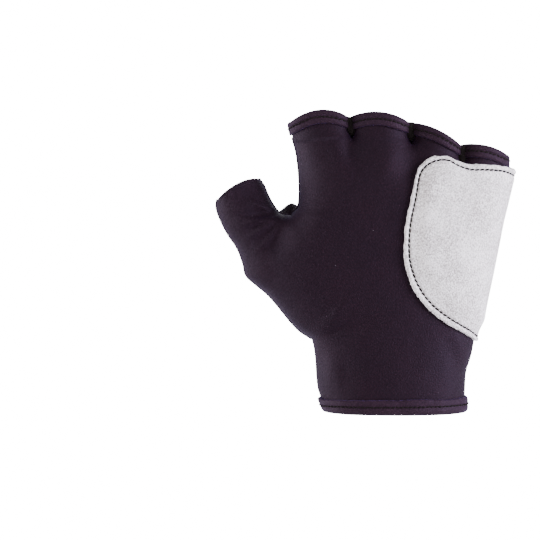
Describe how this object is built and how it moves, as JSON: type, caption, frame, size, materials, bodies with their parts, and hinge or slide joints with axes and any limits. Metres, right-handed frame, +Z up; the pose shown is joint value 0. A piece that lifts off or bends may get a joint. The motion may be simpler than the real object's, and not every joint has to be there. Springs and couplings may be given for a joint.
{
  "type": "fingerless impact glove",
  "caption": "Right-hand fingerless stretch glove with a padded suede piece over the palm that wraps round the little-finger side onto the back.",
  "frame": {"origin": "middle of the wrist opening, level with the lower edge of the wrist hem", "axes": "+Z up the hand to the fingers, -Y out of the back of the hand, +Y out of the palm, -X to the thumb"},
  "size_m": [0.1372, 0.0428, 0.1392],
  "materials": {
    "stretch_cloth": "fine nylon and elastane knit with a soft sheen, dark aubergine",
    "hem_cloth": "the same knit folded and cover-stitched",
    "suede": "split suede with a short nap, pale grey",
    "thread": "spun polyester thread, black"
  },
  "bodies": {
    "root": {"back_panel": "stretch_cloth", "palm_panel": "stretch_cloth", "wrist_hem": "hem_cloth", "hem_index": "hem_cloth", "hem_middle_back": "hem_cloth", "hem_middle_palm": "hem_cloth", "hem_ring_back": "hem_cloth", "hem_ring_palm": "hem_cloth", "hem_little": "hem_cloth", "suede_pad": "suede"}
  },
  "joints": []
}
